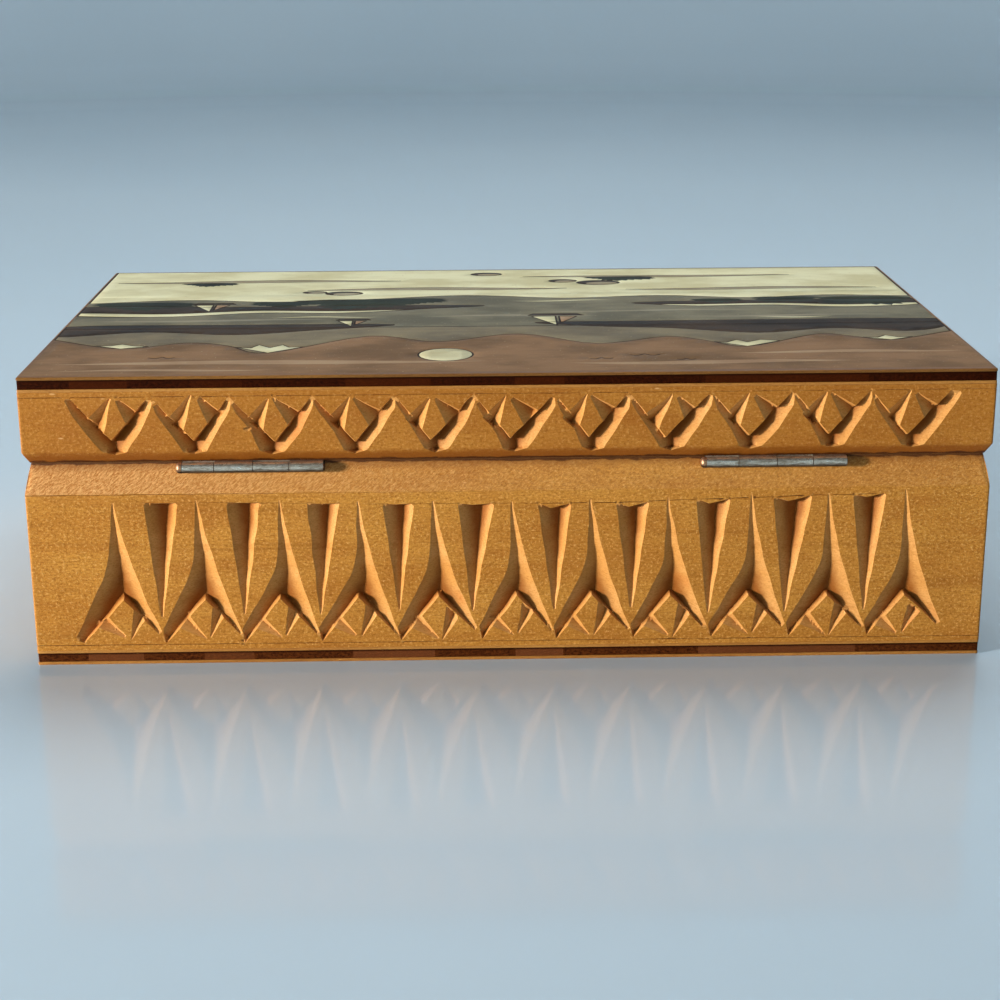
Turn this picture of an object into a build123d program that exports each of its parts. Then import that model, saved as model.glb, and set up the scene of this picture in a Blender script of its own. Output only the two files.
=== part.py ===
from build123d import *
import math
import os

# Trinket box of chip-carved boards between two plywood panels, with a lid on two small butt hinges.
# Millimetres. The origin is at the middle of the underside, +Z up, and the hinges are on the +Y side.

# Whole box
BOX_LENGTH = 200.0
BOX_DEPTH = 119.0
WALL = 10.0

# Plywood panels, three plies each, flush with the walls
FACE_PLY = 0.65
CORE_PLY = 1.9
PANEL = 2 * FACE_PLY + CORE_PLY
TOP_EDGE_ROUNDING = 0.35

# Base walls, with a long bevel along their upper outer edge
BASE_WALL_HEIGHT = 40.8
BASE_BEVEL_HEIGHT = 6.6
BASE_BEVEL_INSET = 1.5
BASE_TOP = PANEL + BASE_WALL_HEIGHT

# Lid rails, with a short bevel along their lower outer edge
SEAM_GAP = 0.2
LID_RAIL_HEIGHT = 15.0
LID_BEVEL_HEIGHT = 2.3
LID_BEVEL_INSET = 1.25
LID_BOTTOM = BASE_TOP + SEAM_GAP
LID_RAIL_TOP = LID_BOTTOM + LID_RAIL_HEIGHT

# Butt hinges: four knuckles, the leaves both let into the base, the barrel outside in the groove
HINGE_SPREAD = 108.0
HINGE_SHIFT = -1.2
KNUCKLE_LENGTHS = (6.5, 7.8, 7.3, 6.9)
KNUCKLE_GAP = 0.15
BARREL_RADIUS = 1.1
PIN_RADIUS = 0.5
PIN_RUNNING_FIT = 0.05
PIN_HEAD_RADIUS = 1.15
PIN_HEAD_LENGTH = 1.2
PIN_HEAD_ROUNDING = 0.8
PIN_TAIL = 0.2
LEAF_WIDTH = 8.6
LEAF_THICKNESS = BARREL_RADIUS - PIN_RADIUS - PIN_RUNNING_FIT
LEAF_NOTCH_CLEARANCE = 0.3
MORTISE_CLEARANCE = 0.25
AXIS_INSET = 0.0
HINGE_LENGTH = sum(KNUCKLE_LENGTHS) + KNUCKLE_GAP * (len(KNUCKLE_LENGTHS) - 1)
AXIS_Y = BOX_DEPTH / 2 - AXIS_INSET
AXIS_Z = LID_BOTTOM - BARREL_RADIUS

# Hinge nails, two in each leaf
NAIL_RADIUS = 0.55
NAIL_LENGTH = 6.0
NAIL_HEAD_RADIUS = 1.2
NAIL_HEAD_THICKNESS = 0.4
NAIL_SPREAD = 17.0
NAIL_SETBACK = 5.4
NAIL_FIT = 0.04

# Carving: as many motifs as fit between the margins
CARVING_PITCH = 16.4
CARVING_MARGIN = 9.0
LONG_SIDE_MOTIFS = int((BOX_LENGTH - 2 * CARVING_MARGIN) // CARVING_PITCH)
SHORT_SIDE_MOTIFS = int((BOX_DEPTH - 2 * CARVING_MARGIN) // CARVING_PITCH)
BASE_LINE_RISE = 0.95
LID_LINE_DROP = 1.65
BASE_CARVING_LINE = PANEL + BASE_LINE_RISE
LID_CARVING_LINE = LID_RAIL_TOP - LID_LINE_DROP
TOWER_DEPTH = 2.9
WEDGE_DEPTH = 2.4
BASE_CHIP_DEPTH = 1.3
ZIGZAG_DEPTH = 1.9
LID_CHIP_DEPTH = 1.2
STOP_CUT_SLANT = 0.3
CUTTER_PROUD = 0.4

# Corners of the motifs: along the wall from the motif's middle, and up from the carving line
TOWER_APEX = (-0.6, 31.0)
TOWER_LEFT_FOOT = (-8.4, 0.7)
TOWER_RIGHT_FOOT = (8.4, 0.5)
TOWER_LEFT_PULL = (-1.2, 11.7)
TOWER_RIGHT_PULL = (1.6, 11.3)
BASE_KITE_TOP = (-0.1, 10.3)
BASE_KITE_BOTTOM = (0.1, 0.0)
WEDGE_TIP = (7.4, 5.0)
WEDGE_TOP_LEFT = (4.4, 30.8)
WEDGE_TOP_RIGHT = (11.6, 30.8)
WEDGE_VALLEY = (8.7, 30.8)
LID_KITE_TOP = (-0.1, 0.0)
LID_KITE_BOTTOM = (0.0, -9.4)
ZIGZAG_LEFT_TIP = (-7.9, -0.9)
ZIGZAG_RIGHT_TIP = (8.3, -0.6)
ZIGZAG_RIGHT_BEND = (3.1, -5.4)
ZIGZAG_V_TIP = (0.8, -11.9)

BACK, FRONT, LEFT, RIGHT = "back", "front", "left", "right"
FACE_TURN = {FRONT: 0, RIGHT: 90, BACK: 180, LEFT: 270}


def run_of(side):
    """Length of the wall on this side of the box."""
    return BOX_LENGTH if side in (BACK, FRONT) else BOX_DEPTH


def motifs_on(side):
    return LONG_SIDE_MOTIFS if side in (BACK, FRONT) else SHORT_SIDE_MOTIFS


def face_plane(side):
    """Outer face of a wall: local x runs along the wall, local y is up and local z points out."""
    reach = (BOX_DEPTH if side in (BACK, FRONT) else BOX_LENGTH) / 2
    turn = math.radians(FACE_TURN[side])
    outward = Vector(math.sin(turn), -math.cos(turn), 0)
    return Plane(origin=outward * reach, x_dir=(math.cos(turn), math.sin(turn), 0), z_dir=outward)


def plan_plane(side, height):
    """Level plane at this height: local x runs along the wall and local y goes into the box."""
    face = face_plane(side)
    return Plane(origin=face.origin + Vector(0, 0, height), x_dir=face.x_dir, z_dir=(0, 0, 1))


def chip_cutter(straight, deepest, depth, curved=()):
    """A carved chip: a cone that shows its outline at the board's face and ends at its deepest spot.

    straight lists the outline's corners in order. curved maps the number of a corner to the pull of the
    curve that runs from it to the next corner.
    """
    swell = (depth + CUTTER_PROUD) / depth
    pulls = dict(curved)

    def grown(point):
        return tuple(d + (p - d) * swell for p, d in zip(point, deepest))

    with BuildPart() as chip:
        with BuildSketch(Plane.XY.offset(CUTTER_PROUD)) as rim:
            with BuildLine():
                for number, corner in enumerate(straight):
                    following = straight[(number + 1) % len(straight)]
                    if number in pulls:
                        Bezier(grown(corner), grown(pulls[number]), grown(following))
                    else:
                        Line(grown(corner), grown(following))
            make_face()
        loft([rim.sketch.face(), Vertex(*deepest, -depth)])
    return chip.part


def tower_motif():
    """Base motif: a tall flared valley over a kite that two small chips set free."""
    tower = chip_cutter(
        [TOWER_APEX, TOWER_LEFT_FOOT, BASE_KITE_TOP, TOWER_RIGHT_FOOT],
        (BASE_KITE_TOP[0], BASE_KITE_TOP[1] + STOP_CUT_SLANT),
        TOWER_DEPTH,
        curved={0: TOWER_LEFT_PULL, 3: TOWER_RIGHT_PULL},
    )
    left_chip = chip_cutter([BASE_KITE_BOTTOM, (-4.4, 5.5), (-5.8, 3.9)], (-5.0, 4.9), BASE_CHIP_DEPTH)
    right_chip = chip_cutter([BASE_KITE_BOTTOM, (4.4, 5.1), (2.6, 7.2)], (3.4, 6.1), BASE_CHIP_DEPTH)
    with BuildPart() as motif:
        add(tower)
        add(left_chip)
        add(right_chip)
    return motif.part


def wedge_motif():
    """Slim wedge between two towers, cut square at its top, and placed by the tower on its left."""
    return chip_cutter(
        [WEDGE_TIP, WEDGE_TOP_RIGHT, WEDGE_TOP_LEFT],
        (WEDGE_VALLEY[0], WEDGE_VALLEY[1] - STOP_CUT_SLANT),
        WEDGE_DEPTH,
    )


def zigzag_motif():
    """Lid motif, below its line: a broad V under a kite that two small chips set free."""
    chevron = chip_cutter(
        [ZIGZAG_LEFT_TIP, ZIGZAG_V_TIP, ZIGZAG_RIGHT_TIP, ZIGZAG_RIGHT_BEND, LID_KITE_BOTTOM],
        (LID_KITE_BOTTOM[0] + STOP_CUT_SLANT, LID_KITE_BOTTOM[1] - STOP_CUT_SLANT),
        ZIGZAG_DEPTH,
    )
    left_chip = chip_cutter([LID_KITE_TOP, (-4.6, -4.6), (-2.9, -6.2)], (-3.7, -5.3), LID_CHIP_DEPTH)
    right_chip = chip_cutter([LID_KITE_TOP, (3.0, -5.5), (4.6, -3.8)], (3.8, -4.6), LID_CHIP_DEPTH)
    with BuildPart() as motif:
        add(chevron)
        add(left_chip)
        add(right_chip)
    return motif.part


def places_along(side, count, line, shift=0.0):
    """Where the motifs of one wall stand, evenly about the wall's middle."""
    face = face_plane(side)
    first = -(count - 1) / 2 * CARVING_PITCH
    spots = [(first + shift + number * CARVING_PITCH, line) for number in range(count)]
    return [Plane(origin=face.from_local_coords((x, y)), x_dir=face.x_dir, z_dir=face.z_dir).location
            for x, y in spots]


def mitred_board(side, bottom, height, bevel_height, bevel_inset, bevel_on_top):
    """A wall board with mitred ends and one bevel along an outer long edge."""
    half = run_of(side) / 2
    face = face_plane(side)
    with BuildPart() as board:
        with BuildSketch(plan_plane(side, bottom)):
            with BuildLine():
                Polyline((-half, 0), (half, 0), (half - WALL, WALL), (WALL - half, WALL), close=True)
            make_face()
        extrude(amount=height)
        level_edges = board.edges().group_by(Axis.Z)[-1 if bevel_on_top else 0]
        outer_edge = level_edges.sort_by(lambda edge: face.to_local_coords(edge.center()).Z)[-1]
        outer_face = board.faces().sort_by(lambda piece: face.to_local_coords(piece.center()).Z)[-1]
        chamfer(outer_edge, length=bevel_height, length2=bevel_inset, reference=outer_face)
    return board.part


def finish(part, label):
    """Name a finished piece and write it."""
    part.label = label
    export_step(part, f"parts/{label}.step")


os.makedirs("parts", exist_ok=True)

tower = tower_motif()
wedge = wedge_motif()
zigzag = zigzag_motif()

# Hinge places along the box, and the nails in each hinge
HINGE_MIDDLES = {LEFT: HINGE_SHIFT - HINGE_SPREAD / 2, RIGHT: HINGE_SHIFT + HINGE_SPREAD / 2}
NAIL_SPOTS = [
    (middle + step * NAIL_SPREAD / 2, AXIS_Y - NAIL_SETBACK)
    for middle in HINGE_MIDDLES.values()
    for step in (-1, 1)
]
BASE_LEAF_BOTTOM = AXIS_Z - BARREL_RADIUS
BASE_LEAF_TOP = BASE_LEAF_BOTTOM + LEAF_THICKNESS
LID_LEAF_BOTTOM = LID_BOTTOM - LEAF_THICKNESS

# Base walls, carved with towers and wedges; the back one is also cut for the hinges
for side in (BACK, FRONT, LEFT, RIGHT):
    blank = mitred_board(side, PANEL, BASE_WALL_HEIGHT, BASE_BEVEL_HEIGHT, BASE_BEVEL_INSET, True)
    with BuildPart() as base_board:
        add(blank)
        with Locations(*places_along(side, motifs_on(side), BASE_CARVING_LINE)):
            add(tower, mode=Mode.SUBTRACT)
        with Locations(*places_along(side, motifs_on(side) - 1, BASE_CARVING_LINE, -CARVING_PITCH / 2)):
            add(wedge, mode=Mode.SUBTRACT)
        if side == BACK:
            for middle in HINGE_MIDDLES.values():
                mortise_length = HINGE_LENGTH + 2 * MORTISE_CLEARANCE
                mortise_reach = LEAF_WIDTH + MORTISE_CLEARANCE
                with Locations((middle, AXIS_Y - mortise_reach, BASE_LEAF_BOTTOM)):
                    Box(
                        mortise_length,
                        mortise_reach + WALL,
                        BASE_TOP - BASE_LEAF_BOTTOM + CUTTER_PROUD,
                        align=(Align.CENTER, Align.MIN, Align.MIN),
                        mode=Mode.SUBTRACT,
                    )
            with Locations(*[(x, y, BASE_LEAF_BOTTOM) for x, y in NAIL_SPOTS]):
                Cylinder(
                    NAIL_RADIUS + NAIL_FIT,
                    NAIL_LENGTH - LEAF_THICKNESS + NAIL_FIT,
                    align=(Align.CENTER, Align.CENTER, Align.MAX),
                    mode=Mode.SUBTRACT,
                )
    finish(base_board.part, f"base_{side}_board")

# Lid rails, carved with the zigzag; the back one is also drilled for the hinge nails
for side in (BACK, FRONT, LEFT, RIGHT):
    blank = mitred_board(side, LID_BOTTOM, LID_RAIL_HEIGHT, LID_BEVEL_HEIGHT, LID_BEVEL_INSET, False)
    with BuildPart() as lid_rail:
        add(blank)
        with Locations(*places_along(side, motifs_on(side), LID_CARVING_LINE)):
            add(zigzag, mode=Mode.SUBTRACT)
        if side == BACK:
            with Locations(*[(x, y, LID_BOTTOM) for x, y in NAIL_SPOTS]):
                Cylinder(
                    NAIL_RADIUS + NAIL_FIT,
                    NAIL_LENGTH - LEAF_THICKNESS + NAIL_FIT,
                    align=(Align.CENTER, Align.CENTER, Align.MIN),
                    mode=Mode.SUBTRACT,
                )
    finish(lid_rail.part, f"lid_{side}_rail")


def ply(bottom, thickness):
    """One ply of a panel, as large as the box."""
    with BuildPart(Plane.XY.offset(bottom)) as sheet:
        Box(BOX_LENGTH, BOX_DEPTH, thickness, align=(Align.CENTER, Align.CENTER, Align.MIN))
    return sheet.part


# Bottom panel
finish(ply(0, FACE_PLY), "bottom_outer_veneer")
finish(ply(FACE_PLY, CORE_PLY), "bottom_core")
finish(ply(FACE_PLY + CORE_PLY, FACE_PLY), "bottom_inner_veneer")

# Lid panel, its top edge eased all round
finish(ply(LID_RAIL_TOP, FACE_PLY), "lid_inner_veneer")
finish(ply(LID_RAIL_TOP + FACE_PLY, CORE_PLY), "lid_core")
with BuildPart() as lid_top_veneer:
    add(ply(LID_RAIL_TOP + FACE_PLY + CORE_PLY, FACE_PLY))
    fillet(lid_top_veneer.faces().sort_by(Axis.Z)[-1].edges(), TOP_EDGE_ROUNDING)
finish(lid_top_veneer.part, "lid_top_veneer")


def knuckle_spans(middle, owner):
    """Ends of the knuckles of one leaf along X: the base owns the first and third, the lid the others."""
    spans = []
    start = middle + HINGE_LENGTH / 2
    for number, length in enumerate(KNUCKLE_LENGTHS):
        if number % 2 == owner:
            spans.append((start - length, start))
        start -= length + KNUCKLE_GAP
    return spans


def hinge_leaf(middle, owner, sheet_bottom):
    """A leaf: a flat sheet, cut back beside the other leaf's knuckles, and its own curled knuckles."""
    barrel_plane = Plane(origin=(0, AXIS_Y, AXIS_Z), x_dir=(0, 1, 0), z_dir=(1, 0, 0))
    cut_back = BARREL_RADIUS + LEAF_NOTCH_CLEARANCE
    with BuildPart() as leaf:
        with Locations((middle, AXIS_Y - LEAF_WIDTH, sheet_bottom)):
            Box(
                HINGE_LENGTH,
                LEAF_WIDTH - cut_back,
                LEAF_THICKNESS,
                align=(Align.CENTER, Align.MIN, Align.MIN),
            )
        for low, high in knuckle_spans(middle, owner):
            with Locations((low, AXIS_Y - LEAF_WIDTH, sheet_bottom)):
                Box(high - low, LEAF_WIDTH, LEAF_THICKNESS, align=(Align.MIN, Align.MIN, Align.MIN))
            with BuildSketch(barrel_plane.offset(low)):
                Circle(BARREL_RADIUS)
            extrude(amount=high - low)
        with BuildSketch(barrel_plane.offset(middle - HINGE_LENGTH)):
            Circle(PIN_RADIUS + PIN_RUNNING_FIT)
        extrude(amount=2 * HINGE_LENGTH, mode=Mode.SUBTRACT)
        nail_spots = [(x, y, sheet_bottom) for x, y in NAIL_SPOTS if abs(x - middle) < HINGE_LENGTH / 2]
        with Locations(*nail_spots):
            Cylinder(
                NAIL_RADIUS + NAIL_FIT,
                3 * LEAF_THICKNESS,
                mode=Mode.SUBTRACT,
            )
    return leaf.part


def hinge_pin(middle):
    """Pin through all four knuckles, with a domed head at its +X end."""
    axis_start = Plane(origin=(middle, AXIS_Y, AXIS_Z), x_dir=(0, 1, 0), z_dir=(1, 0, 0))
    shank_length = HINGE_LENGTH + PIN_TAIL + PIN_RUNNING_FIT
    with BuildPart(axis_start.offset(-HINGE_LENGTH / 2 - PIN_TAIL)) as pin:
        Cylinder(PIN_RADIUS, shank_length, align=(Align.CENTER, Align.CENTER, Align.MIN))
        with Locations((0, 0, shank_length)):
            Cylinder(PIN_HEAD_RADIUS, PIN_HEAD_LENGTH, align=(Align.CENTER, Align.CENTER, Align.MIN))
        fillet(pin.edges().sort_by(Axis.X)[-1], PIN_HEAD_ROUNDING)
    return pin.part


def nails(head_seat, upward):
    """The nails of both hinges in one body: flat heads on the leaf and shanks through it."""
    away = Align.MIN if upward else Align.MAX
    toward = Align.MAX if upward else Align.MIN
    with BuildPart() as group:
        with Locations(*[(x, y, head_seat) for x, y in NAIL_SPOTS]):
            Cylinder(NAIL_HEAD_RADIUS, NAIL_HEAD_THICKNESS, align=(Align.CENTER, Align.CENTER, toward))
            Cylinder(NAIL_RADIUS, NAIL_LENGTH, align=(Align.CENTER, Align.CENTER, away))
    return group.part


# Hinges
for side, middle in HINGE_MIDDLES.items():
    finish(hinge_leaf(middle, 0, BASE_LEAF_BOTTOM), f"{side}_hinge_base_leaf")
    finish(hinge_leaf(middle, 1, LID_LEAF_BOTTOM), f"{side}_hinge_lid_leaf")
    finish(hinge_pin(middle), f"{side}_hinge_pin")
finish(nails(BASE_LEAF_TOP, False), "base_hinge_nails")
finish(nails(LID_LEAF_BOTTOM, True), "lid_hinge_nails")
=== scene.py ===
import math

import bpy
import numpy as np
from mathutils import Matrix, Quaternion, Vector
from mathutils.geometry import delaunay_2d_cdt


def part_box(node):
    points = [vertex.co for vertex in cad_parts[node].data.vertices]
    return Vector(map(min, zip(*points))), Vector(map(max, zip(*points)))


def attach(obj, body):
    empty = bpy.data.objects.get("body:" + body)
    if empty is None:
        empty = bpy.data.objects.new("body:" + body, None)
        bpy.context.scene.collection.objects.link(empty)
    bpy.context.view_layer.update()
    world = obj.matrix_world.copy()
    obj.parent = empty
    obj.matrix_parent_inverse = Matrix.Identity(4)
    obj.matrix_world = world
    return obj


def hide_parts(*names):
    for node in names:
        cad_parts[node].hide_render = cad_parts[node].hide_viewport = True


# Looks of a chip-carved trinket box. Lengths are millimetres until the meshes are made, in metres.
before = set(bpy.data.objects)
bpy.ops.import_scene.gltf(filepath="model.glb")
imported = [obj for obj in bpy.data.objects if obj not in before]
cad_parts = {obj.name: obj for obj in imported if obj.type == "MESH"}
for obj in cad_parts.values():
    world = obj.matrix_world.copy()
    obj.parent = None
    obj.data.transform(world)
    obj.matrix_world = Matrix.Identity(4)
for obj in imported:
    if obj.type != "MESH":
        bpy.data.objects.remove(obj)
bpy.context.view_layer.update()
MM = 0.001

# Sides of the box, each with its turn about Z from the front
SIDE_TURNS = {"front": 0, "right": 90, "back": 180, "left": 270}
LONG_SIDES = ("front", "back")


def box_mm(node):
    """Lowest and highest corner of a CAD node in millimetres."""
    low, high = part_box(node)
    return np.array(low) / MM, np.array(high) / MM


# Layout, from the frame
HALF_LENGTH, HALF_DEPTH, TOP_HEIGHT = box_mm("lid_top_veneer")[1]
BACK_LOW, BACK_HIGH = box_mm("base_back_board")
WALL = BACK_HIGH[1] - BACK_LOW[1]
BASE_BOTTOM, BASE_TOP = BACK_LOW[2], BACK_HIGH[2]
LID_BOTTOM, LID_TOP = box_mm("lid_back_rail")[0][2], box_mm("lid_back_rail")[1][2]

# Bevels and edges of the boards
BASE_BEVEL_HEIGHT = 6.6
BASE_BEVEL_INSET = 1.5
BASE_BEVEL_SOFTNESS = 1.35
LID_BEVEL_HEIGHT = 2.3
LID_BEVEL_INSET = 1.25
LID_BEVEL_SOFTNESS = 1.1
CORNER_ROUNDING = 0.5
MITRE_FADE = 8.0
MORTISE_CLEARANCE = 0.25

# Carving: the lines that it was laid out on, and its pitch
CARVING_PITCH = 16.4
MOTIF_COUNTS = {"front": 11, "back": 11, "left": 6, "right": 6}
BASE_LINE = BASE_BOTTOM + 1.15
LID_LINE = LID_TOP - 1.05
UPPER_LINE_RISE = 30.9
CARVING_FOOT = BASE_LINE + 0.65
SCORE_DEPTH = 0.1
SCORE_HALF_WIDTH = 0.14

# Corners of the base's motifs: along the wall from the kite's foot, and up from that foot
TOWER_BEND = (-1.2, 16.0)
TOWER_BEND_SHARE = 0.25
TOWER_RIGHT_PULL = (2.65, 15.25)
TOWER_HALF_FOOT = 9.8
TOWER_HALF_TIP = 0.17
TOWER_TOE, TOWER_HEEL = (-0.3, 2.6), (0.25, -0.6)
FIRST_TOWER_TOE, FIRST_TOWER_HEEL = (-0.8, 0.6), (1.1, -0.2)
TOWER_RIGHT_FOOT = (0.5, -0.1)
WEDGE_DIP_SHARE = 0.4
WEDGE_TIP_DROP = 1.35
BASE_LEFT_CHIP = ((-0.2, -0.2), (-4.3, 5.5), (-7.0, 2.95))
BASE_RIGHT_CHIP = ((-0.05, -0.4), (3.75, 5.2), (1.15, 7.8))

# Corners of the lid's motifs: along the wall from a tip, the bottom or the kite's middle, and from the line
ZIGZAG_LEFT = ((0.1, -1.2), (1.3, -3.8), (4.1, -7.9))
ZIGZAG_BOTTOM = ((-2.6, -11.6), (-0.3, -12.3), (2.2, -11.6))
ZIGZAG_RIGHT = ((-2.8, -7.7), (0.0, -2.9), (0.25, -1.3), (-0.1, 0.1))
ZIGZAG_LAST_RIGHT = ((-2.7, -7.7), (0.1, -3.1), (1.6, -0.3), (-0.6, -0.1))
ZIGZAG_LEFT_TIP = (0.1, -0.1)
ZIGZAG_FIRST_TIPS = ((0.9, -0.25), (-0.3, -0.35))
LID_CHIP_TOP = (0.0, 0.45)
LID_LEFT_CHIP = ((-5.5, -5.1), (-2.15, -8.1))
LID_RIGHT_CHIP = ((3.25, -6.8), (6.2, -3.65))
CURVE_STEPS = 12

# How steeply the knife went in from each side of a chip: depth for a step across
TOWER_SLOPES = {"left": 0.51, "toe": 2.5, "kite": 3.2, "right": 0.55, "tip": 3.0}
WEDGE_SLOPES = {"left": 0.54, "top": 3.0, "right": 1.08}
BASE_LEFT_SLOPES = (1.0, 6.0, 0.6)
BASE_RIGHT_SLOPES = (1.15, 6.0, 0.64)
ZIGZAG_SLOPES = {"left": 0.68, "bottom": 4.0, "right": 0.75, "kite_right": 4.0, "kite_left": 3.0, "tip": 3.0}
LID_LEFT_SLOPES = (0.78, 6.0, 1.04)
LID_RIGHT_SLOPES = (0.55, 6.0, 2.2)

# The hand's drift from even spacing on the back, from one end to the other; other walls drift alike
BACK_FEET = (-0.7, 0.9, 1.2, 1.0, 1.2, 2.0, 1.35, 1.2, 1.3, 1.4, 1.7, 1.9)
# Each kite's foot along and up, its top's lean and rise, and the tower's apex, its lean and rise
BACK_KITES = (
    (2.0, 0.4, -1.1, 9.3, -2.05, 30.75), (2.1, 0.5, -0.45, 9.3, -1.3, 31.2),
    (1.5, 0.4, -0.6, 9.3, 0.0, 30.9), (1.3, 0.4, -0.35, 9.4, 0.0, 30.6),
    (2.0, -0.3, -0.55, 9.4, -1.5, 30.8), (1.4, 0.4, 0.15, 9.4, -0.95, 30.5),
    (1.2, 0.2, -0.35, 9.2, -0.8, 30.8), (1.6, -0.3, -0.65, 9.0, -1.4, 30.6),
    (1.8, 0.0, -0.65, 8.8, -0.7, 31.2), (1.9, -0.4, -0.45, 8.6, -1.1, 31.2),
    (1.1, -0.5, 0.35, 8.6, -0.65, 31.8),
)
# Each wedge's tip along and up, its top corners, and how far the top dips
BACK_WEDGES = (
    (0.5, 4.9, -1.9, 5.2, 0.1), (1.6, 5.8, -1.2, 5.7, 0.05), (1.1, 5.6, -1.0, 5.7, 0.1),
    (1.3, 6.3, -1.8, 4.8, 0.1), (0.2, 6.0, -2.5, 5.0, 0.35), (1.2, 5.6, -2.3, 4.6, 1.0),
    (1.0, 5.8, -2.5, 4.4, 1.1), (0.8, 4.9, -2.3, 4.9, 1.0), (0.6, 4.9, -2.6, 5.7, 1.1),
    (1.0, 5.2, -2.3, 4.7, 0.7),
)
BACK_TIPS = (-0.1, 0.8, 0.4, 0.9, 1.2, 1.0, 1.1, 0.1, 0.5, 0.9, 0.4, 1.1)
# On the lid, each kite's top along and up, its foot along and up, and the bottom of the zigzag
BACK_LID_KITES = (
    (1.3, 0.1, 0.6, -9.1, 1.4), (1.3, 0.7, 1.0, -9.3, 1.2), (0.5, -0.2, 1.2, -9.6, 0.9),
    (0.5, -0.4, 1.3, -9.7, 1.5), (0.6, -0.6, 0.4, -9.7, 1.5), (-0.45, -0.5, 0.3, -9.4, 1.4),
    (-0.2, -0.4, 0.1, -9.3, 1.0), (1.0, -0.5, -0.7, -9.5, 0.8), (0.2, -0.4, 0.3, -9.3, 0.9),
    (-0.3, -0.3, 0.3, -9.1, 1.3), (0.6, -0.2, 0.2, -9.5, 1.4),
)
# The back's upper line: places along it, its rises, and how dark it is there
BACK_LINE = (
    (-84, 31.3, 0.0), (-76, 31.3, 0.4), (-60, 31.2, 0.5), (-42, 30.85, 0.5), (-26, 30.5, 0.5),
    (-8, 30.5, 0.6), (6, 30.3, 0.8), (22, 30.3, 0.9), (39, 30.8, 1.0), (46, 30.95, 1.0), (55, 31.15, 1.0),
    (63, 31.5, 0.9), (71, 31.45, 0.8), (78, 31.8, 0.4),
)

# Small tears at the edges of the back's cuts: along the wall, up from the floor, width and height
BACK_TEARS = {
    "base": ((-52.2, 34.7, 2.2, 1.3), (-56.4, 4.9, 1.6, 1.3), (76.4, 5.8, 1.5, 1.6), (-67.6, 8.5, 0.9, 0.9)),
    "lid": ((-53.2, 51.3, 3.2, 1.5), (89.0, 55.3, 1.8, 0.8), (49.5, 58.3, 0.9, 0.7), (74.3, 58.4, 1.0, 0.7)),
}
TEAR_SLOPES = (0.9, 1.2, 0.8, 1.4)

# Mesh density and the unevenness of handwork
GRID_STEP = 0.7
LINE_CLEARANCE = 0.27
OUTLINE_STEP = 0.5
MARK_STEP = 1.0
MARK_CLEARANCE = 0.4
VALLEY_GRID = 0.25
VALLEY_STEP = 0.4
BORDER_STEP = 2.0
WOBBLE = 0.07
RIPPLE = 0.03


def side_axes(side):
    """Directions of a wall seen from outside: along it to the right, and outward."""
    turn = math.radians(SIDE_TURNS[side])
    along = np.array([math.cos(turn), math.sin(turn), 0.0])
    outward = np.array([math.sin(turn), -math.cos(turn), 0.0])
    return along, outward


def half_run(side):
    return HALF_LENGTH if side in LONG_SIDES else HALF_DEPTH


def reach(side):
    return HALF_DEPTH if side in LONG_SIDES else HALF_LENGTH


def place(side, s, depth, z):
    """Points in millimetres from places along a wall, depths below its face and heights."""
    along, outward = side_axes(side)
    points = np.outer(reach(side) - depth, outward) + np.outer(s, along)
    points[:, 2] = z
    return points


def waves(points, wavelength, seed, count=8):
    """A soft uneven field over flat points, mostly between -1 and 1."""
    random = np.random.default_rng(seed)
    total = np.zeros(len(points))
    for _ in range(count):
        turn, phase = random.uniform(0, 2 * math.pi, 2)
        length = wavelength * random.uniform(0.7, 1.5)
        run = points[:, 0] * math.cos(turn) + points[:, 1] * math.sin(turn)
        total += np.sin(2 * math.pi * run / length + phase)
    return total / math.sqrt(count)


def curve(start, pull, end, steps=CURVE_STEPS):
    """Points of a quadratic curve, without its end."""
    t = np.linspace(0, 1, steps + 1)[:-1, None]
    start, pull, end = map(np.array, (start, pull, end))
    return list((1 - t) ** 2 * start + 2 * t * (1 - t) * pull + t**2 * end)


def smooth_step(value, low, high):
    t = np.clip((value - low) / (high - low), 0, 1)
    return t * t * (3 - 2 * t)


# Chips


def chip(*walls):
    """A carved chip from its walls in order round it: each a line along the face, and how steep it is."""
    walls = [(np.array(line, float), slope) for line, slope in walls]
    return np.vstack([line[:-1] for line, _ in walls]), walls


def straight_sided(corners, slopes):
    """A chip from its corners, and a slope for the wall after each."""
    return chip(*(([a, b], slope) for a, b, slope in zip(corners, corners[1:] + corners[:1], slopes)))


def inside(points, polygon):
    """Which points lie in a polygon."""
    result = np.zeros(len(points), bool)
    low, high = polygon.min(0), polygon.max(0)
    near = np.flatnonzero(np.all((points >= low) & (points <= high), axis=1))
    x, y = points[near, 0], points[near, 1]
    odd = np.zeros(len(near), bool)
    for (xa, ya), (xb, yb) in zip(polygon, np.roll(polygon, -1, axis=0)):
        if ya != yb:
            odd ^= ((ya > y) != (yb > y)) & (x < xa + (y - ya) * (xb - xa) / (yb - ya))
    result[near] = odd
    return result


def distance_to(points, start, end):
    """Distance of each point from a segment, whose ends may be the same."""
    run = end - start
    length = run @ run
    t = np.clip((points - start) @ run / length, 0, 1) if length else np.zeros(len(points))
    return np.linalg.norm(points - start - t[:, None] * run, axis=1)


def beside(points, start, end, margin):
    """The numbers of the points in the rectangle round a segment, this much wider than it."""
    low, high = np.minimum(start, end) - margin, np.maximum(start, end) + margin
    return np.flatnonzero(np.all((points > low) & (points < high), axis=1))


def wall_depths(points, walls):
    """How deep each wall of a chip lies under each point."""
    depths = []
    for line, slope in walls:
        gap = np.full(len(points), np.inf)
        for start, end in zip(line[:-1], line[1:]):
            gap = np.minimum(gap, distance_to(points, start, end))
        depths.append(slope * gap)
    return np.array(depths)


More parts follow.
